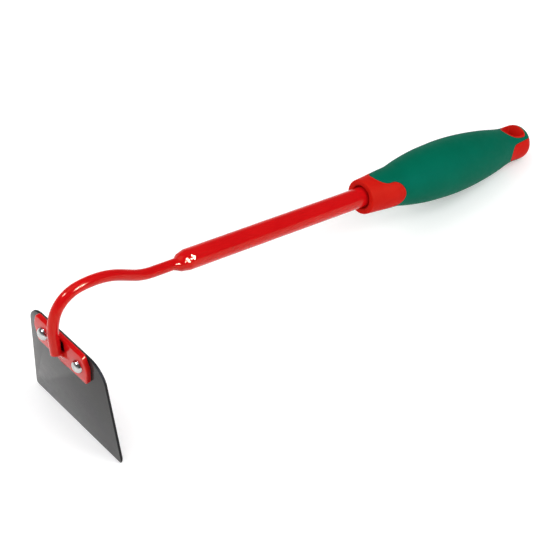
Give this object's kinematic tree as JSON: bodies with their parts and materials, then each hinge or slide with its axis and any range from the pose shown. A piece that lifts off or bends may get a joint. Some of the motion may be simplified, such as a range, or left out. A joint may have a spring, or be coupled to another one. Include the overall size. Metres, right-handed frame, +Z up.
{
  "type": "hand garden hoe",
  "caption": "Short-handled garden hoe: trapezoid blade riveted to a plate on a bent steel neck, round steel shaft and a soft-skinned plastic handle with a hanging eye.",
  "frame": {"origin": "middle of the bounding box's underside; the hoe lies on its cutting edge and the underside of the handle's tail", "axes": "+X from the blade towards the handle's tail along the floor, +Y across the blade, +Z up; Y = 0 is the plane of symmetry"},
  "size_m": [0.4562, 0.0976, 0.1227],
  "materials": {
    "blade_coating": "satin dark grey coating on sheet steel",
    "red_paint": "glossy red powder paint",
    "rivet_steel": "bright domed steel",
    "red_plastic": "smooth red moulded plastic",
    "green_rubber": "matt soft green grip"
  },
  "bodies": {
    "root": {"blade": "blade_coating", "tang_plate": "red_paint", "rivet_left": "rivet_steel", "rivet_right": "rivet_steel", "gooseneck_rod": "red_paint", "plate_weld": "red_paint", "shaft_tube": "red_paint", "tube_weld": "red_paint", "handle_core": "red_plastic", "soft_grip": "green_rubber"}
  },
  "joints": []
}
